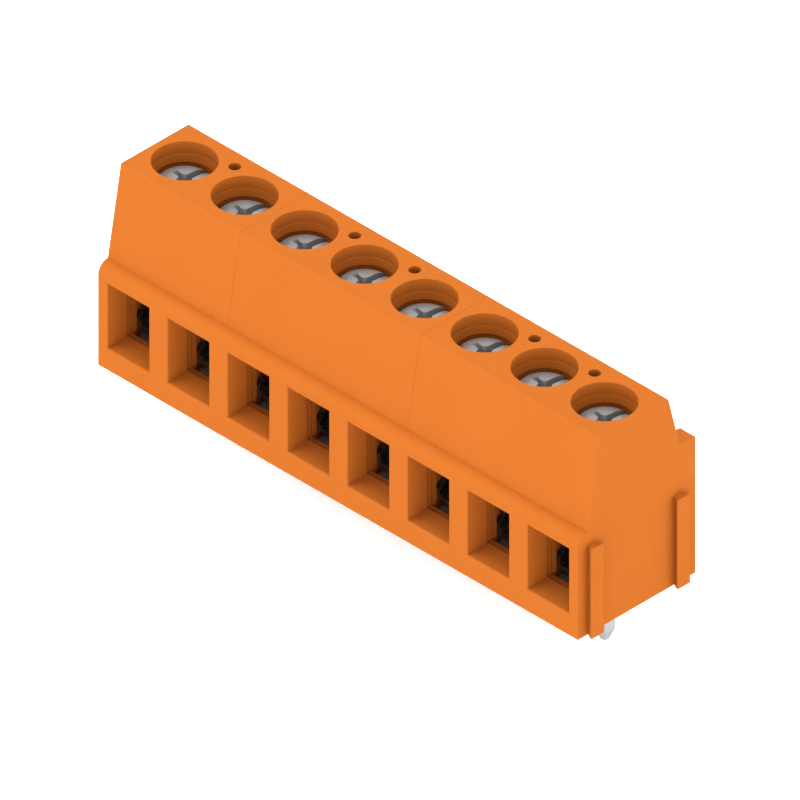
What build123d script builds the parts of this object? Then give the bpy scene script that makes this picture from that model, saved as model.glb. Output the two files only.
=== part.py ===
from build123d import *
import os
import math

os.makedirs("parts", exist_ok=True)

# ---------------------------------------------------------------------------
# PCB terminal block, screw clamp, 8 poles at 5.08 mm pitch, assembled from
# one two-pole and two three-pole housing modules joined by dovetails.
# Frame: +X along the row of poles, +Y to the rear, +Z up.
# Origin: middle of the row of poles, on the row of solder pins, at the
# underside of the housing (the top face of the circuit board).
# All sizes in millimetres.
# ---------------------------------------------------------------------------

PITCH = 5.08                 # pole pitch
POLES = 8                    # poles in the whole block
MODULES = (("housing_two_pole_left", 2),
           ("housing_three_pole_middle", 3),
           ("housing_three_pole_right", 3))

# housing section (y measured from the pin row, z from the board)
Y_FRONT = -4.80              # front face
Y_REAR = 5.20                # rear faces of the rear pillars
Y_BACKWALL = 3.85            # rear wall between the pillars
H_BODY = 13.80               # housing height
H_NOSE = 7.42                # top of the rounded front ledge
R_NOSE = 0.80                # radius of the rounded front ledge
Y_TOP_FRONT = -2.88          # front edge of the top face
Y_TOP_REAR = 2.88            # rear edge of the top face
Z_SLOPE_FOOT = 9.95          # foot of the sloping rear wall
W_PILLAR = 1.32              # width of a rear pillar on its own module side
Z_PILLAR_FRONT = 10.10       # pillar top at the wall
Z_PILLAR_REAR = 9.92         # pillar top at its rear edge
R_EDGE = 0.10                # moulded rounding of the outer edges
C_SEAM = 0.015               # edge break along the top of the module ends
MOUTH_BREAK = 0.06           # edge break round the wire entries
RIM_R = 0.04                 # rounding of the rims of the wells and holes

# dovetail ribs on the right end, grooves on the left end
RIB_OUT = 0.52               # how far a rib stands out
RIB_W_TIP = 1.11             # width at the outer face
RIB_W_ROOT = 0.60            # width at the wall
RIB_Y = (-3.645, 3.655)      # middle of the front and the rear rib
RIB_TOP = 6.50               # ribs run from the board to here
RIB_GAP = 0.03               # clearance all round in the groove

# screw wells
R_WELL = 2.04                # screwdriver well
Z_LIP_TOP = 12.90            # straight wall ends at a fine step
Z_LIP_STEP = 12.88           # bottom of the step, the lip starts
R_LIP_TOP = 2.02             # radius at the top of the lip
Z_LIP_BOT = 12.36            # lower edge of the lip
R_LIP = 1.935                # radius at the lower edge of the lip
R_GROOVE = 2.25              # fine groove under the lip
Z_GROOVE_BOT = 12.24
R_UNDER = 2.05               # recess round the screw head
Z_LEDGE_TOP = 10.95          # ledge that carries the screw head
Z_LEDGE_BOT = 10.05          # ceiling of the clamp chamber
R_SHANK_HOLE = 1.30          # hole in the ledge for the screw

# marking holes between the wells of one module
R_PEG_HOLE = 0.39
Y_PEG_HOLE = 1.70
D_PEG_HOLE = 4.00

# wire entries
ENTRY_W = 3.50               # width at the front face
ENTRY_Z0 = 1.56              # floor at the front face
ENTRY_Z1 = 6.31              # ceiling at the front face
ENTRY_MID = 1.60             # depth of the funnel
ENTRY_END = 2.05             # thickness of the front wall
FUNNEL_W = 3.34              # narrow end of the funnel
FUNNEL_Z0 = 1.77
FUNNEL_Z1 = 4.90
THROAT_W = 3.50              # opening behind the funnel
THROAT_Z0 = 1.70
THROAT_Z1 = 4.97
FINE_GROOVE = 0.09           # width of the fine groove behind the funnel
FINE_GROOVE_D = 0.12         # its depth beyond the opening behind it

# clamp chambers
CH_HALF_W = 2.04             # half width
CH_Y0 = Y_FRONT + ENTRY_END  # inner face of the front wall
CH_Y1 = 3.00                 # inner face of the rear wall
CHEEK_HALF_W = 1.75          # half width between the guide cheeks
CHEEK_Y0 = -2.64             # front of the cheeks, a narrow gap behind the wall
CHEEK_Y1 = -2.31             # rear of the cheeks, in front of the yoke
CH_Y0_HIGH = -2.05           # inner face of the front wall at the ceiling
Z_CH_STEP = 9.25

# clamping yoke, a strap folded to a closed box, drawn with the clamp open;
# from here it goes 0.45 mm down to its stop and 2.15 mm up to the contact plate
YK_T = 0.42                  # strap thickness
YK_HALF_W = 1.98             # outer half width
YK_Y0 = -2.28                # front edge of the strap
YK_Y1 = 2.10                 # rear edge of the strap
YK_Z0 = 1.80                 # underside
YK_Z_LAYER = 5.92            # underside of the inner top layer
YK_WAIST_D = 0.50            # the side walls are set back by this in front
YK_WAIST_Z0 = 2.60           # lower end of the set-back
YK_WAIST_Z1 = 5.75           # upper end
YK_LAYER_GAP = 0.04          # gap between the two overlapping top layers
YK_R_OUT = 0.75              # outer bend radius
YK_R_IN = 0.30               # inner bend radius
YK_COLLAR_R = 1.72           # drawn collar round the threaded hole
YK_COLLAR_H = 0.55

# clamping screw M2.5 x 0.45
SC_R = 1.25                  # thread outer radius
SC_PITCH = 0.45
SC_R_NUT = 1.28              # threaded hole of the yoke, plain here
SC_HEAD_R = 1.72
SC_HEAD_Z0 = 10.97           # underside of the head
SC_HEAD_Z1 = 12.22           # top of the cylindrical part of the head
SC_TOP = 12.50               # top of the head
SC_TIP = 5.37                # lower end
SLOT_W = 0.49
SLOT_D = 0.75
WING_W = 0.32
WING_L = 1.00                # half length of the cross recess at the top
WING_L2 = 0.74               # half length at its bottom
WING_D = 1.05
SLOT_ANGLE = 83.0            # direction of the slot, degrees from +X

# current bar with solder pin, bent from one strip
BAR_T = 0.80                 # strip thickness
BAR_HALF_W = 1.38            # half width of the contact plate
BAR_Z_CONTACT = 4.55         # underside of the contact plate
BAR_Y_TIP = -2.60            # front end of the contact plate
BAR_Y_BACK = CH_Y1           # rear face, against the chamber wall
BAR_Z_FOOT = 0.20            # underside of the foot plate
BAR_FOOT_HALF_W = 1.98       # half width of the foot plate, it covers the chamber
BAR_FOOT_Y0 = -2.26          # front of its wide part, behind the cheeks
BAR_TONGUE_HALF_W = 1.70     # the narrow front part, between the cheeks
BAR_TONGUE_Y0 = -2.68        # front edge of the foot plate
BAR_R_IN = 0.25              # inner bend radius
BAR_LEG_HALF_W = CH_HALF_W   # the rear leg is held between the chamber walls
PIN_W = 0.95                 # pin width along the row
PIN_T = 0.80                 # pin thickness
PIN_L = 3.50                 # pin length below the board plane
PIN_TAPER = 0.75             # length of the tapered tip

X_LEFT = -POLES * PITCH / 2.0          # left end of the block
POLE_X = [X_LEFT + (i + 0.5) * PITCH for i in range(POLES)]


def box(x0, x1, y0, y1, z0, z1):
    return Pos((x0 + x1) / 2, (y0 + y1) / 2, (z0 + z1) / 2) * Box(x1 - x0, y1 - y0, z1 - z0)


def prism_x(points, x0, x1):
    """Closed polygon of (y, z) points, extruded from x0 to x1."""
    face = make_face(Polyline(*[(x0, y, z) for y, z in points], close=True))
    return extrude(face, amount=x1 - x0, dir=(1, 0, 0))


def prism_z(points, z0, z1):
    """Closed polygon of (x, y) points, extruded from z0 to z1."""
    face = make_face(Polyline(*[(x, y, z0) for x, y in points], close=True))
    return extrude(face, amount=z1 - z0, dir=(0, 0, 1))


def disc(r, z0, z1, x=0.0, y=0.0):
    return Pos(x, y, (z0 + z1) / 2) * Cylinder(r, z1 - z0)


# ---------------------------------------------------------------- housing --
def shell(x0, x1):
    """Outer body of a module with its rounded long edges."""
    yc, zc = Y_FRONT + R_NOSE, H_NOSE - R_NOSE
    a = math.sqrt(0.5) * R_NOSE
    edges = [
        Line((x0, Y_FRONT, 0), (x0, Y_FRONT, zc)),
        ThreePointArc((x0, Y_FRONT, zc), (x0, yc - a, zc + a), (x0, yc, H_NOSE)),
        Line((x0, yc, H_NOSE), (x0, Y_TOP_FRONT, H_BODY)),
        Line((x0, Y_TOP_FRONT, H_BODY), (x0, Y_TOP_REAR, H_BODY)),
        Line((x0, Y_TOP_REAR, H_BODY), (x0, Y_BACKWALL, Z_SLOPE_FOOT)),
        Line((x0, Y_BACKWALL, Z_SLOPE_FOOT), (x0, Y_BACKWALL, 0)),
        Line((x0, Y_BACKWALL, 0), (x0, Y_FRONT, 0)),
    ]
    face = make_face(Wire(edges))
    body = extrude(face, amount=x1 - x0, dir=(1, 0, 0))
    top = [e for e in body.edges()
           if abs(e.center().Z - H_BODY) < 1e-3 and e.length > (x1 - x0) - 0.01]
    body = fillet(top, R_EDGE)
    ends = [e for e in body.edges().filter_by(Axis.Y)
            if (abs(e.center().X - x0) < 1e-4 or abs(e.center().X - x1) < 1e-4)
            and e.center().Z > H_BODY - 1e-3]
    return chamfer(ends, C_SEAM)


def pillar(xa, xb):
    """Upright rib on the rear wall; its top falls slightly to the rear."""
    pts = [(Y_BACKWALL - 0.4, 0), (Y_REAR, 0), (Y_REAR, Z_PILLAR_REAR),
           (3.80, Z_PILLAR_FRONT), (Y_BACKWALL - 0.4, Z_PILLAR_FRONT)]
    p = prism_x(pts, xa, xb)
    rear = [e for e in p.edges() if e.center().Y > Y_REAR - 1e-3 and e.center().Z > 0.01]
    return fillet(rear, 0.06)


def rib(x, y, grow=0.0, depth=0.0):
    """Dovetail rib standing out of the plane x towards +X."""
    wt, wr = RIB_W_TIP / 2 + grow, RIB_W_ROOT / 2 + grow
    return prism_z([(x - depth, y - wr), (x - depth, y + wr), (x, y + wr),
                    (x + RIB_OUT + grow, y + wt), (x + RIB_OUT + grow, y - wt), (x, y - wr)],
                   -grow * 10, RIB_TOP + grow)


def plain_rib(x, y):
    wt, wr = RIB_W_TIP / 2, RIB_W_ROOT / 2
    r = prism_z([(x - 0.2, y - wr), (x - 0.2, y + wr), (x, y + wr),
                 (x + RIB_OUT, y + wt), (x + RIB_OUT, y - wt), (x, y - wr)], 0, RIB_TOP)
    tip = [e for e in r.edges() if e.center().X > x + RIB_OUT - 1e-3 and e.center().Z > 0.01]
    return chamfer(tip, 0.02)


def entry(xc):
    """Funnel and throat of one wire entry, as a cutter."""
    y0, y1, y2 = Y_FRONT - 0.001, Y_FRONT + ENTRY_MID, CH_Y0 + 0.01

    def rect(y, w, z0, z1):
        return make_face(Polyline((xc - w / 2, y, z0), (xc + w / 2, y, z0),
                                  (xc + w / 2, y, z1), (xc - w / 2, y, z1), close=True))
    funnel = loft([rect(y0, ENTRY_W, ENTRY_Z0, ENTRY_Z1),
                   rect(y1, FUNNEL_W, FUNNEL_Z0, FUNNEL_Z1)])
    throat = box(xc - THROAT_W / 2, xc + THROAT_W / 2, y1 - 0.01, y2, THROAT_Z0, THROAT_Z1)
    g, d = FINE_GROOVE, FINE_GROOVE_D
    groove = box(xc - THROAT_W / 2 - d, xc + THROAT_W / 2 + d, y1, y1 + g,
                 THROAT_Z0 - d, THROAT_Z1 + d)
    b = MOUTH_BREAK
    mouth = loft([rect(y0, ENTRY_W + 2 * b, ENTRY_Z0 - b, ENTRY_Z1 + b),
                  rect(Y_FRONT + b, ENTRY_W - 0.004, ENTRY_Z0 + 0.004, ENTRY_Z1 - 0.004)])
    return funnel, throat, groove, mouth


def well(xc):
    """Screwdriver well, lip, head recess and screw hole of one pole."""
    pts = [(R_WELL + RIM_R, H_BODY), (R_WELL + RIM_R, H_BODY + 0.5), (0, H_BODY + 0.5),
           (0, Z_LEDGE_BOT - 0.01), (R_SHANK_HOLE, Z_LEDGE_BOT - 0.01),
           (R_SHANK_HOLE, Z_LEDGE_TOP), (R_UNDER, Z_LEDGE_TOP),
           (R_UNDER, Z_GROOVE_BOT), (R_GROOVE, Z_GROOVE_BOT), (R_GROOVE, Z_LIP_BOT),
           (R_LIP, Z_LIP_BOT), (R_LIP_TOP, Z_LIP_STEP), (R_WELL, Z_LIP_TOP),
           (R_WELL, H_BODY - RIM_R)]
    return Pos(xc, 0, 0) * revolve(rim_face(pts), Axis.Z, 360)


def rim_face(pts):
    """Half section of a round hole; its last and first point are joined by
    the quarter round of the rim."""
    (r1, z1), (r0, z0) = pts[0], pts[-1]
    q = RIM_R * (1 - math.sqrt(0.5))
    lines = [Line((a[0], 0, a[1]), (b[0], 0, b[1])) for a, b in zip(pts, pts[1:])]
    lines.append(ThreePointArc((r0, 0, z0), (r0 + q, 0, z1 - q), (r1, 0, z1)))
    return make_face(Wire(lines))


def peg_hole(xc):
    pts = [(R_PEG_HOLE + RIM_R, H_BODY), (R_PEG_HOLE + RIM_R, H_BODY + 0.5), (0, H_BODY + 0.5),
           (0, H_BODY - D_PEG_HOLE), (R_PEG_HOLE, H_BODY - D_PEG_HOLE),
           (R_PEG_HOLE, H_BODY - RIM_R)]
    return Pos(xc, Y_PEG_HOLE, 0) * revolve(rim_face(pts), Axis.Z, 360)


def chamber(xc):
    """Clamp chamber, open to the board, with a guide cheek in each front corner."""
    pts = [(CH_Y0, -0.01), (CH_Y1, -0.01), (CH_Y1, Z_LEDGE_BOT),
           (CH_Y0_HIGH, Z_LEDGE_BOT), (CH_Y0, Z_CH_STEP)]
    room = prism_x(pts, xc - CH_HALF_W, xc + CH_HALF_W)
    for s in (-1, 1):
        a, b = xc + s * CHEEK_HALF_W, xc + s * (CH_HALF_W + 1)
        room -= box(min(a, b), max(a, b), CHEEK_Y0, CHEEK_Y1, -1, Z_CH_STEP)
    return room


def housing(x0, n):
    x1 = x0 + n * PITCH
    body = shell(x0, x1)
    for i in range(n + 1):
        xb = x0 + i * PITCH
        body += pillar(max(x0, xb - W_PILLAR), min(x1, xb + W_PILLAR))
    for y in RIB_Y:
        body += plain_rib(x1, y)
    cuts = []
    for i in range(n):
        xc = x0 + (i + 0.5) * PITCH
        cuts += [chamber(xc), well(xc)]
        cuts += list(entry(xc))
    for i in range(1, n):
        cuts.append(peg_hole(x0 + i * PITCH))
    for y in RIB_Y:
        cuts.append(rib(x0, y, RIB_GAP, 0.3))
    for c in cuts:
        body -= c
    return body


# ------------------------------------------------------------------ yoke --
def yoke_solid():
    """Strap folded to a box with two overlapping ends on top, both pierced
    by the threaded hole, the upper one with a drawn collar."""
    w, t = YK_HALF_W, YK_T
    z0 = YK_Z0
    zi0, zi1 = YK_Z_LAYER, YK_Z_LAYER + t
    zo0 = zi1 + YK_LAYER_GAP
    zo1 = zo0 + t
    y0, y1 = YK_Y0, YK_Y1

    outer = box(-w, w, y0, y1, z0, zo1)
    e = [k for k in outer.edges().filter_by(Axis.Y)]
    low = [k for k in e if k.center().Z < z0 + 0.01]
    right = [k for k in e if k.center().Z > zo1 - 0.01 and k.center().X > 0]
    outer = fillet(low + right, YK_R_OUT)
    inner = box(-w + t, w - t, y0 - 1, y1 + 1, z0 + t, zi0)
    e = [k for k in inner.edges().filter_by(Axis.Y) if k.center().Z < z0 + t + 0.01]
    inner = fillet(e, YK_R_IN)
    body = outer - inner
    # slit between the two top layers, open to the left and down the right wall
    body -= box(-w - 1, w - t, y0 - 1, y1 + 1, zi1, zo0)
    body -= box(w - t - YK_LAYER_GAP, w - t, y0 - 1, y1 + 1, zi0 - 0.1, zo0)
    # rounded upper left corner of the inner layer's bend
    corner = [k for k in body.edges().filter_by(Axis.Y)
              if abs(k.center().X + w) < 1e-3 and abs(k.center().Z - zi1) < 1e-3]
    if corner:
        body = fillet(corner, 0.40)
    # the outer layer ends a little short of the left side
    body -= box(-w - 1, -w + 0.25, y0 - 1, y1 + 1, zo0 - 0.001, zo1 + 1)
    # the side walls are set back in front, above the bottom tray
    d, za, zb = YK_WAIST_D, YK_WAIST_Z0, YK_WAIST_Z1
    body -= prism_x([(y0 - 1, za), (y0, za), (y0 + d, za + 0.45), (y0 + d, zb - 0.30),
                     (y0, zb), (y0 - 1, zb)], -w - 1, w + 1)
    body += disc(YK_COLLAR_R, zo1 - 0.05, zo1 + YK_COLLAR_H)
    body -= disc(SC_R_NUT, zi0 - 0.5, zo1 + YK_COLLAR_H + 0.5)
    return body


# ----------------------------------------------------------------- screw --
def screw_solid():
    a = (SC_HEAD_R, SC_HEAD_Z1)
    b = (1.46, 12.395)
    c = (0.95, SC_TOP)
    tipc = 0.25
    edges = [
        Line((0, 0, SC_TIP), (SC_R - tipc, 0, SC_TIP)),
        Line((SC_R - tipc, 0, SC_TIP), (SC_R, 0, SC_TIP + tipc)),
        Line((SC_R, 0, SC_TIP + tipc), (SC_R, 0, SC_HEAD_Z0)),
        Line((SC_R, 0, SC_HEAD_Z0), (SC_HEAD_R - 0.1, 0, SC_HEAD_Z0)),
        Line((SC_HEAD_R - 0.1, 0, SC_HEAD_Z0), (SC_HEAD_R, 0, SC_HEAD_Z0 + 0.1)),
        Line((SC_HEAD_R, 0, SC_HEAD_Z0 + 0.1), (a[0], 0, a[1])),
        ThreePointArc((a[0], 0, a[1]), (b[0], 0, b[1]), (c[0], 0, c[1])),
        Line((c[0], 0, c[1]), (0, 0, SC_TOP)),
        Line((0, 0, SC_TOP), (0, 0, SC_TIP)),
    ]
    body = revolve(make_face(Wire(edges)), Axis.Z, 360)
    rot = Rot(0, 0, SLOT_ANGLE)
    # straight slot across the whole head
    slot = rot * box(-3, 3, -SLOT_W / 2, SLOT_W / 2, SC_TOP - SLOT_D, SC_TOP + 1)
    body -= slot
    # cross recess: two tapering wings and a conical middle
    for ang in (0, 90):
        pts = [(-WING_L, SC_TOP + 0.01), (WING_L, SC_TOP + 0.01),
               (WING_L2, SC_TOP - WING_D), (-WING_L2, SC_TOP - WING_D)]
        face = make_face(Polyline(*[(x, -WING_W / 2, z) for x, z in pts], close=True))
        body -= rot * Rot(0, 0, ang) * extrude(face, amount=WING_W, dir=(0, 1, 0))
    cone = Pos(0, 0, SC_TOP - 0.45 + 0.005) * Cone(0.20, 0.48, 0.91)
    body -= cone
    return body


# ----------------------------------------------------------- current bar --
def bar_solid():
    """Strip bent to a C: contact plate, rear leg and foot plate with the solder pin."""
    t, ri, ro = BAR_T, BAR_R_IN, BAR_R_IN + BAR_T
    zc0, zc1 = BAR_Z_CONTACT, BAR_Z_CONTACT + t
    zf0, zf1 = BAR_Z_FOOT, BAR_Z_FOOT + t
    yb1 = BAR_Y_BACK
    yb0 = yb1 - t
    yp = PIN_T / 2
    w = BAR_HALF_W
    # C section from the tip of the contact plate to the foot plate
    outer = box(-w, w, BAR_Y_TIP, yb1, zf0, zc1)
    e = [k for k in outer.edges().filter_by(Axis.X) if k.center().Y > yb1 - 0.01]
    outer = fillet(e, ro)
    inner = box(-w - 1, w + 1, BAR_Y_TIP - 1, yb0, zf1, zc0)
    e = [k for k in inner.edges().filter_by(Axis.X) if k.center().Y > yb0 - 0.01]
    inner = fillet(e, ri)
    body = outer - inner
    # blunt front end of the contact plate
    front = [k for k in body.edges().filter_by(Axis.X)
             if k.center().Y < BAR_Y_TIP + 0.01 and k.center().Z > zf1 + 0.1]
    body = chamfer(front, 0.15)
    # wider rear leg between the two bends
    body += box(-BAR_LEG_HALF_W, BAR_LEG_HALF_W, yb0, yb1, zf0 + ro, zc1 - ro - 0.9)
    # the foot plate closes the chamber towards the board
    wf, wt = BAR_FOOT_HALF_W, BAR_TONGUE_HALF_W
    body += prism_z([(-wt, BAR_TONGUE_Y0), (wt, BAR_TONGUE_Y0), (wt, BAR_FOOT_Y0),
                     (wf, BAR_FOOT_Y0), (wf, yb1 - ro), (-wf, yb1 - ro),
                     (-wf, BAR_FOOT_Y0), (-wt, BAR_FOOT_Y0)], zf0, zf1)
    # the pin is riveted through the foot plate
    body += disc(0.62, zf1 - 0.1, zf1 + 0.12)
    pin = box(-PIN_W / 2, PIN_W / 2, -yp, yp, -PIN_L, zf0 + 0.2)
    cut_l = PIN_TAPER
    for s in (-1, 1):
        pin -= prism_x([(s * (yp - 0.24), -PIN_L - 0.01), (s * (yp + 0.5), -PIN_L - 0.01),
                        (s * (yp + 0.5), -PIN_L + cut_l), (s * yp, -PIN_L + cut_l)],
                       -1, 1)
        pts = [(s * (PIN_W / 2 - 0.28), -PIN_L - 0.01), (s * (PIN_W / 2 + 0.5), -PIN_L - 0.01),
               (s * (PIN_W / 2 + 0.5), -PIN_L + cut_l), (s * PIN_W / 2, -PIN_L + cut_l)]
        face = make_face(Polyline(*[(x, -1, z) for x, z in pts], close=True))
        pin -= extrude(face, amount=2, dir=(0, 1, 0))
    body += pin
    return body


def export_node(shape, name):
    shape.label = name
    export_step(shape, "parts/%s.step" % name)


def main():
    x = X_LEFT
    for name, n in MODULES:
        export_node(housing(x, n), name)
        x += n * PITCH
    yk, sc, br = yoke_solid(), screw_solid(), bar_solid()
    for i, xc in enumerate(POLE_X, 1):
        export_node(Pos(xc, 0, 0) * yk, "clamping_yoke_%d" % i)
        export_node(Pos(xc, 0, 0) * sc, "clamping_screw_%d" % i)
        export_node(Pos(xc, 0, 0) * br, "current_bar_%d" % i)


main()
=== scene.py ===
import math

import bmesh
import bpy
from mathutils import Matrix, Vector


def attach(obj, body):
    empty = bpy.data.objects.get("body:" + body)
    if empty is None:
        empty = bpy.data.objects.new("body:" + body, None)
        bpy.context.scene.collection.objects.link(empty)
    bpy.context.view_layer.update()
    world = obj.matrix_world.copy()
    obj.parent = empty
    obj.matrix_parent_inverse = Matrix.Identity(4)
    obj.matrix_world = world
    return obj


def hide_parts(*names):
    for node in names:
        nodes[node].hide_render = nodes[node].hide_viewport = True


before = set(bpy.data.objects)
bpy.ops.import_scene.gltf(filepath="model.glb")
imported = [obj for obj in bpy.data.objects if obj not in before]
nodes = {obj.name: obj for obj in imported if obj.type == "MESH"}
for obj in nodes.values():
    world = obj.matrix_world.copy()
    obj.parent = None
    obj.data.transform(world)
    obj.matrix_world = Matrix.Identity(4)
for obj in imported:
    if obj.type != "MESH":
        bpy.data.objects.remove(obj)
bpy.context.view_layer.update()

MM = 0.001
scene = bpy.context.scene
POLES = 8
PITCH = 5.08
POLE_X = [(-POLES / 2 + i + 0.5) * PITCH for i in range(POLES)]


# ---------------------------------------------------------------- materials
def new_material(name):
    m = bpy.data.materials.new(name)
    m.use_nodes = True
    nt = m.node_tree
    b = nt.nodes["Principled BSDF"]
    return m, nt, b


def add(nt, kind, **values):
    n = nt.nodes.new(kind)
    for k, v in values.items():
        if k in n.inputs:
            n.inputs[k].default_value = v
        else:
            setattr(n, k, v)
    return n


def link(nt, a, out, b, inp):
    nt.links.new(a.outputs[out], b.inputs[inp])


def noise(nt, coord, scale, detail=2.0, rough=0.5):
    n = add(nt, "ShaderNodeTexNoise")
    n.inputs["Scale"].default_value = scale
    n.inputs["Detail"].default_value = detail
    n.inputs["Roughness"].default_value = rough
    link(nt, coord, "Object", n, "Vector")
    return n


def ramp(nt, source, out, stops):
    r = nt.nodes.new("ShaderNodeValToRGB")
    el = r.color_ramp.elements
    while len(el) < len(stops):
        el.new(0.5)
    for e, (p, c) in zip(el, stops):
        e.position = p
        e.color = c if len(c) == 4 else (*c, 1.0)
    link(nt, source, out, r, "Fac")
    return r


def spread(nt, source, out, lo, hi):
    m = nt.nodes.new("ShaderNodeMapRange")
    m.inputs["From Min"].default_value = 0.25
    m.inputs["From Max"].default_value = 0.75
    m.inputs["To Min"].default_value = lo
    m.inputs["To Max"].default_value = hi
    link(nt, source, out, m, "Value")
    return m


def bump(nt, source, out, strength, distance, below=None):
    b = nt.nodes.new("ShaderNodeBump")
    b.inputs["Strength"].default_value = strength
    b.inputs["Distance"].default_value = distance
    link(nt, source, out, b, "Height")
    if below is not None:
        link(nt, below, "Normal", b, "Normal")
    return b


def orange_plastic():
    """Moulded polyamide: even colour with a faint cloudiness from the melt
    flow, a fine spark-eroded grain and a soft sheen."""
    m, nt, b = new_material("orange_polyamide")
    co = nt.nodes.new("ShaderNodeTexCoord")
    cloud = noise(nt, co, 170.0, 3.0, 0.55)
    grain = noise(nt, co, 9000.0, 2.0, 0.6)
    fine = noise(nt, co, 2600.0, 3.0, 0.5)
    col = ramp(nt, cloud, "Fac", [(0.30, (0.271, 0.0716, 0.0099)), (0.70, (0.279, 0.0744, 0.0111))])
    link(nt, col, "Color", b, "Base Color")
    ro = spread(nt, fine, "Fac", 0.40, 0.50)
    link(nt, ro, "Result", b, "Roughness")
    b1 = bump(nt, fine, "Fac", 0.10, 0.000006)
    b2 = bump(nt, grain, "Fac", 0.10, 0.000002, b1)
    link(nt, b2, "Normal", b, "Normal")
    b.inputs["Specular IOR Level"].default_value = 0.005
    b.inputs["IOR"].default_value = 1.5
    return m


def math_node(nt, op, a, b=None, out_a=0, out_b=0):
    n = nt.nodes.new("ShaderNodeMath")
    n.operation = op
    nt.links.new(a.outputs[out_a], n.inputs[0])
    if isinstance(b, (int, float)):
        n.inputs[1].default_value = b
    elif b is not None:
        nt.links.new(b.outputs[out_b], n.inputs[1])
    return n


def zinc_screw():
    """Bright zinc plating on a cold-headed screw: faint turning rings round
    the axis of each screw and a slightly mottled passivation."""
    m, nt, b = new_material("zinc_plated_steel")
    co = nt.nodes.new("ShaderNodeTexCoord")
    xyz = nt.nodes.new("ShaderNodeSeparateXYZ")
    link(nt, co, "Object", xyz, "Vector")
    cell = math_node(nt, "MULTIPLY", xyz, 1.0 / (PITCH * MM))
    cell = math_node(nt, "FRACT", cell)
    cell = math_node(nt, "SUBTRACT", cell, 0.5)
    dx = math_node(nt, "MULTIPLY", cell, PITCH * MM)
    dx2 = math_node(nt, "MULTIPLY", dx, dx)
    dy2 = nt.nodes.new("ShaderNodeMath")
    dy2.operation = "MULTIPLY"
    nt.links.new(xyz.outputs["Y"], dy2.inputs[0])
    nt.links.new(xyz.outputs["Y"], dy2.inputs[1])
    r2 = math_node(nt, "ADD", dx2, dy2)
    r = math_node(nt, "SQRT", r2)
    polar = nt.nodes.new("ShaderNodeCombineXYZ")
    nt.links.new(r.outputs[0], polar.inputs["X"])
    nt.links.new(xyz.outputs["Z"], polar.inputs["Z"])
    rings = add(nt, "ShaderNodeTexNoise")
    rings.inputs["Scale"].default_value = 9000.0
    rings.inputs["Detail"].default_value = 2.0
    link(nt, polar, "Vector", rings, "Vector")
    mot = noise(nt, co, 1500.0, 4.0, 0.6)
    fine = noise(nt, co, 12000.0, 2.0, 0.5)
    col = ramp(nt, mot, "Fac", [(0.30, (0.196, 0.202, 0.203)), (0.70, (0.229, 0.237, 0.238))])
    link(nt, col, "Color", b, "Base Color")
    ro = spread(nt, mot, "Fac", 0.34, 0.46)
    link(nt, ro, "Result", b, "Roughness")
    b1 = bump(nt, fine, "Fac", 0.15, 0.000003)
    b2 = bump(nt, rings, "Fac", 0.12, 0.000004, b1)
    link(nt, b2, "Normal", b, "Normal")
    b.inputs["Metallic"].default_value = 0.55
    b.inputs["Specular IOR Level"].default_value = 0.4
    return m


def yoke_steel():
    """Plated strap steel with a drawn grain along the strap."""
    m, nt, b = new_material("yoke_steel")
    co = nt.nodes.new("ShaderNodeTexCoord")
    mp = nt.nodes.new("ShaderNodeMapping")
    mp.inputs["Scale"].default_value = (1.0, 14.0, 1.0)
    link(nt, co, "Object", mp, "Vector")
    n = add(nt, "ShaderNodeTexNoise")
    n.inputs["Scale"].default_value = 900.0
    n.inputs["Detail"].default_value = 3.0
    link(nt, mp, "Vector", n, "Vector")
    col = ramp(nt, n, "Fac", [(0.30, (0.20, 0.194, 0.186)), (0.70, (0.23, 0.224, 0.215))])
    link(nt, col, "Color", b, "Base Color")
    ro = spread(nt, n, "Fac", 0.24, 0.32)
    link(nt, ro, "Result", b, "Roughness")
    b1 = bump(nt, n, "Fac", 0.10, 0.000003)
    link(nt, b1, "Normal", b, "Normal")
    b.inputs["Metallic"].default_value = 1.0
    return m


def tinned():
    """Matt tin on a stamped copper alloy strip."""
    m, nt, b = new_material("tinned_copper")
    co = nt.nodes.new("ShaderNodeTexCoord")
    n = noise(nt, co, 700.0, 4.0, 0.6)
    f = noise(nt, co, 9000.0, 2.0, 0.5)
    col = ramp(nt, n, "Fac", [(0.30, (0.308, 0.311, 0.313)), (0.70, (0.344, 0.348, 0.350))])
    link(nt, col, "Color", b, "Base Color")
    ro = spread(nt, n, "Fac", 0.38, 0.55)
    link(nt, ro, "Result", b, "Roughness")
    b1 = bump(nt, f, "Fac", 0.15, 0.000003)
    link(nt, b1, "Normal", b, "Normal")
    b.inputs["Metallic"].default_value = 0.5
    return m


MAT = {"housing": orange_plastic(), "clamping_screw": zinc_screw(),
       "clamping_yoke": yoke_steel(), "current_bar": tinned()}


def dress(obj, mat):
    obj.data.materials.clear()
    obj.data.materials.append(mat)


for name, obj in nodes.items():
    for key, mat in MAT.items():
        if name.startswith(key):
            dress(obj, mat)


# ------------------------------------------------------------------ screws
R_CREST, R_ROOT, THREAD = 1.25, 0.99, 0.45
TIP, UNDER, SHOULDER, TOP, R_HEAD = 5.37, 10.97, 12.22, 12.50, 1.72
SLOT_ANGLE = math.radians(83.0)


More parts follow.
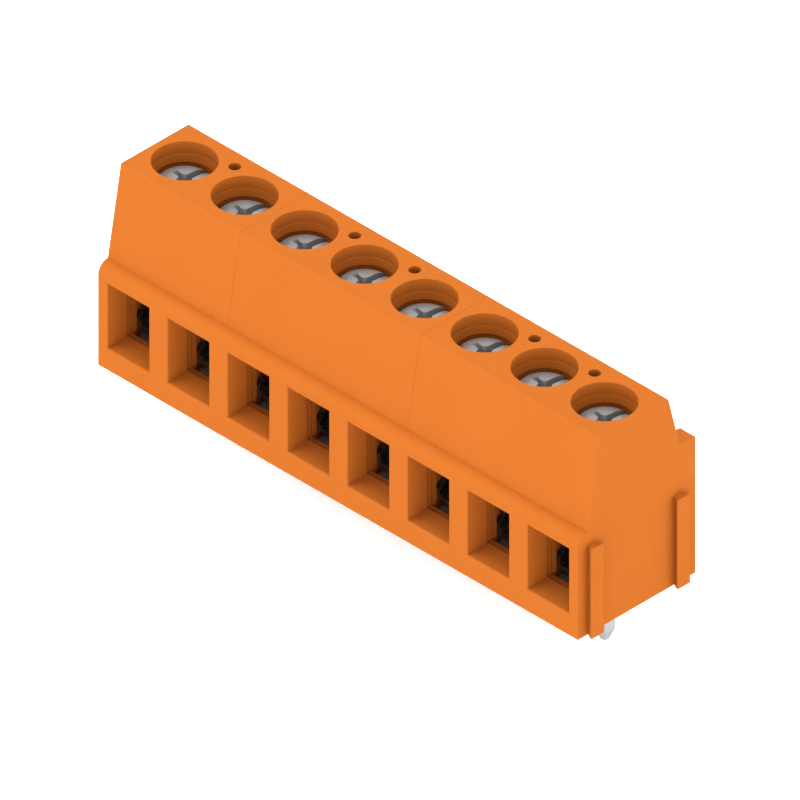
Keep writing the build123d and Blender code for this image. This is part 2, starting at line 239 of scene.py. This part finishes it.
def surface(rows, seg, name):
    """Closed surface round Z. rows: lists of (r, z) for each angle, bottom to
    top, between a bottom point and a top point on the axis."""
    bm = bmesh.new()
    low = bm.verts.new((0, 0, rows[0][0][1] * MM))
    rings = []
    for row in rows:
        rings.append([bm.verts.new((r * math.cos(2 * math.pi * k / seg) * MM,
                                    r * math.sin(2 * math.pi * k / seg) * MM, z * MM))
                      for k, (r, z) in enumerate(row)])
    high = bm.verts.new((0, 0, rows[-1][0][1] * MM))
    for k in range(seg):
        j = (k + 1) % seg
        bm.faces.new((low, rings[0][j], rings[0][k]))
        for a, b in zip(rings, rings[1:]):
            bm.faces.new((a[k], a[j], b[j], b[k]))
        bm.faces.new((high, rings[-1][k], rings[-1][j]))
    bmesh.ops.recalc_face_normals(bm, faces=bm.faces)
    me = bpy.data.meshes.new(name)
    bm.to_mesh(me)
    bm.free()
    return me


def thread_radius(angle, z):
    """Rounded 60 degree thread, right-handed, running out at both ends."""
    phase = (z / THREAD - angle / (2 * math.pi)) % 1.0
    tri = 1.0 - abs(2.0 * phase - 1.0)
    tri = min(1.0, max(0.0, (tri - 0.10) / 0.76))
    r = R_ROOT + (R_CREST - R_ROOT) * tri
    fade_top = min(1.0, max(0.0, (UNDER - 0.25 - z) / 0.45))
    r = R_ROOT + (r - R_ROOT) * fade_top
    tip = TIP + 0.32
    if z < tip:
        r = min(r, R_CREST - 0.30 * (tip - z) / 0.32)
    return r


def shank_mesh():
    """The strip of quads follows the helix, so crest and root stay clean."""
    seg, per_turn = 72, 12
    z0, z1 = TIP, UNDER + 0.06
    count = int((z1 - z0) / THREAD + 2.5) * per_turn
    bm = bmesh.new()
    cols = []
    for k in range(seg):
        ang = 2 * math.pi * k / seg
        col = []
        for j in range(count + per_turn + 1):
            z = z0 - THREAD + THREAD * j / per_turn + THREAD * k / seg
            z = min(z1, max(z0, z))
            r = thread_radius(ang, z)
            col.append(bm.verts.new((r * math.cos(ang) * MM, r * math.sin(ang) * MM, z * MM)))
        cols.append(col)
    for k in range(seg):
        shift = 0 if k < seg - 1 else per_turn
        nxt = cols[(k + 1) % seg]
        for j in range(count):
            bm.faces.new((cols[k][j], nxt[j + shift], nxt[j + 1 + shift], cols[k][j + 1]))
    bmesh.ops.remove_doubles(bm, verts=bm.verts, dist=1e-7)
    bmesh.ops.dissolve_degenerate(bm, edges=bm.edges, dist=1e-7)
    loose = [v for v in bm.verts if not v.link_faces]
    bmesh.ops.delete(bm, geom=loose, context="VERTS")
    for end in (z0, z1):
        rim = [e for e in bm.edges if e.is_boundary and all(abs(v.co.z - end * MM) < 1e-8 for v in e.verts)]
        middle = bm.verts.new((0, 0, end * MM))
        for e in rim:
            bm.faces.new((e.verts[0], e.verts[1], middle))
    bmesh.ops.recalc_face_normals(bm, faces=bm.faces)
    me = bpy.data.meshes.new("screw_shank")
    bm.to_mesh(me)
    bm.free()
    return me


def head_mesh():
    seg = 128
    prof = [(1.60, UNDER), (1.67, UNDER + 0.015), (1.705, UNDER + 0.05), (R_HEAD, UNDER + 0.10)]
    n = 4
    for i in range(1, n):
        prof.append((R_HEAD, UNDER + 0.10 + (SHOULDER - 0.06 - UNDER - 0.10) * i / n))
    prof += [(R_HEAD, SHOULDER - 0.06), (1.714, SHOULDER - 0.02), (1.690, SHOULDER + 0.025),
             (1.650, 12.282), (1.600, 12.316), (1.530, 12.358), (1.460, 12.392), (1.380, 12.422),
             (1.300, 12.447), (1.210, 12.469), (1.120, 12.485), (1.030, 12.496), (0.950, TOP)]
    prof += [(0.75, TOP), (0.5, TOP), (0.25, TOP)]
    rows = [[p] * seg for p in prof]
    return surface(rows, seg, "screw_head")


def cutter(corners, name):
    """Convex prism from two rings of corners (bottom ring, top ring)."""
    bm = bmesh.new()
    a = [bm.verts.new([c * MM for c in p]) for p in corners[0]]
    b = [bm.verts.new([c * MM for c in p]) for p in corners[1]]
    n = len(a)
    bm.faces.new(a[::-1])
    bm.faces.new(b)
    for k in range(n):
        j = (k + 1) % n
        bm.faces.new((a[k], a[j], b[j], b[k]))
    bmesh.ops.recalc_face_normals(bm, faces=bm.faces)
    me = bpy.data.meshes.new(name)
    bm.to_mesh(me)
    bm.free()
    o = bpy.data.objects.new(name, me)
    scene.collection.objects.link(o)
    return o


def turned(points, angle):
    c, s = math.cos(angle), math.sin(angle)
    return [(x * c - y * s, x * s + y * c, z) for x, y, z in points]


def rect(lx, ly, z):
    return [(-lx, -ly, z), (lx, -ly, z), (lx, ly, z), (-lx, ly, z)]


def recessed_head():
    me = head_mesh()
    head = bpy.data.objects.new("head_work", me)
    scene.collection.objects.link(head)
    cuts = [cutter([turned(rect(2.4, 0.235, TOP - 0.75), SLOT_ANGLE),
                    turned(rect(2.4, 0.250, TOP + 0.4), SLOT_ANGLE)], "cut_slot")]
    for extra in (0.0, math.pi / 2):
        cuts.append(cutter([turned(rect(0.74, 0.125, TOP - 1.05), SLOT_ANGLE + extra),
                            turned(rect(1.00, 0.165, TOP + 0.01), SLOT_ANGLE + extra)], "cut_wing"))
    ring = []
    for r, z in ((0.20, TOP - 0.90), (0.48, TOP + 0.01)):
        ring.append([(r * math.cos(k * math.pi / 4 + SLOT_ANGLE), r * math.sin(k * math.pi / 4 + SLOT_ANGLE), z)
                     for k in range(8)])
    cuts.append(cutter(ring, "cut_middle"))
    for c in cuts:
        m = head.modifiers.new("cut", "BOOLEAN")
        m.operation = "DIFFERENCE"
        m.solver = "EXACT"
        m.object = c
    bv = head.modifiers.new("bevel", "BEVEL")
    bv.width = 0.030 * MM
    bv.segments = 2
    bv.limit_method = "ANGLE"
    bv.angle_limit = math.radians(32)
    bpy.context.view_layer.update()
    dg = bpy.context.evaluated_depsgraph_get()
    out = bpy.data.meshes.new_from_object(head.evaluated_get(dg))
    for o in cuts + [head]:
        bpy.data.objects.remove(o)
    return out


def joined(meshes, name):
    bm = bmesh.new()
    for me in meshes:
        bm.from_mesh(me)
    out = bpy.data.meshes.new(name)
    bm.to_mesh(out)
    bm.free()
    return out


def smooth_by_angle(me, degrees):
    """Smooth shading that keeps edges sharper than the angle."""
    for p in me.polygons:
        p.use_smooth = True
    bm = bmesh.new()
    bm.from_mesh(me)
    lim = math.radians(degrees)
    for e in bm.edges:
        if len(e.link_faces) == 2:
            e.smooth = e.calc_face_angle(0.0) < lim
        else:
            e.smooth = False
    bm.to_mesh(me)
    bm.free()


screw = joined([recessed_head(), shank_mesh()], "clamping_screw_mesh")
smooth_by_angle(screw, 38)
dress_mat = MAT["clamping_screw"]
screw.materials.append(dress_mat)
for i, x in enumerate(POLE_X, 1):
    me = screw.copy()
    me.transform(Matrix.Translation((x * MM, 0, 0)))
    o = bpy.data.objects.new("screw_%d" % i, me)
    scene.collection.objects.link(o)
    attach(o, "screw_%d" % i)
    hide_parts("clamping_screw_%d" % i)


# ------------------------------------------------------------------- stage
def plain_floor():
    m, nt, b = new_material("pale_floor")
    b.inputs["Base Color"].default_value = (0.97, 0.97, 0.97, 1)
    b.inputs["Roughness"].default_value = 0.9
    b.inputs["Specular IOR Level"].default_value = 0.0
    # a table lit faintly from below, so that the part stands on plain white
    b.inputs["Emission Color"].default_value = (1.0, 1.0, 1.0, 1)
    b.inputs["Emission Strength"].default_value = 0.18
    bm = bmesh.new()
    s, z = 1.5, -3.5 * MM
    vs = [bm.verts.new(v) for v in ((-s, -s, z), (s, -s, z), (s, s, z), (-s, s, z))]
    bm.faces.new(vs)
    me = bpy.data.meshes.new("floor")
    bm.to_mesh(me)
    bm.free()
    o = bpy.data.objects.new("floor", me)
    scene.collection.objects.link(o)
    me.materials.append(m)
    return o


floor = plain_floor()

world = bpy.data.worlds.new("studio")
scene.world = world
world.use_nodes = True
wt = world.node_tree
bg = wt.nodes["Background"]
bg.inputs["Strength"].default_value = 4.60
# an even tent of light with a brighter band round the horizon
sky = wt.nodes.new("ShaderNodeTexCoord")
sky_xyz = wt.nodes.new("ShaderNodeSeparateXYZ")
wt.links.new(sky.outputs["Generated"], sky_xyz.inputs["Vector"])
tent = ramp(wt, sky_xyz, "Z", [(0.0, (1.0, 1.0, 1.0)), (0.18, (1.0, 1.0, 1.0)),
                               (0.34, (0.41, 0.41, 0.41)), (1.0, (0.41, 0.41, 0.41))])
wt.links.new(tent.outputs["Color"], bg.inputs["Color"])


def area(name, where, size, power, at=(0, 0, 5)):
    l = bpy.data.lights.new(name, "AREA")
    l.shape = "SQUARE"
    l.size = size
    l.energy = power
    o = bpy.data.objects.new(name, l)
    scene.collection.objects.link(o)
    o.location = [c * MM for c in where]
    d = Vector([c * MM for c in at]) - o.location
    o.rotation_mode = "QUATERNION"
    o.rotation_quaternion = d.to_track_quat("-Z", "Y")
    return o


area("soft_top", (0, 0, 320), 0.12, 0.67)
area("soft_side", (382, -321, 44), 0.25, 0.68)
area("soft_left", (-190, -159, 247), 0.15, 0.36)

scene.view_settings.view_transform = "Standard"
scene.view_settings.look = "None"
scene.view_settings.exposure = 0.0
scene.view_settings.gamma = 1.0

# ------------------------------------------------------------------ camera
az, el = math.radians(45.0), math.radians(35.0)
target = Vector((2.018, -1.565, 6.875)) * MM
back = Vector((math.sin(az) * math.cos(el), -math.cos(az) * math.cos(el), math.sin(el)))
cam = bpy.data.cameras.new("camera")
cam.type = "ORTHO"
cam.ortho_scale = 47.91 * MM
cam.clip_start = 0.001
cam.clip_end = 5.0
camera = bpy.data.objects.new("camera", cam)
scene.collection.objects.link(camera)
camera.location = target + back * 0.25
camera.rotation_mode = "QUATERNION"
camera.rotation_quaternion = (-back).to_track_quat("-Z", "Y")
scene.camera = camera
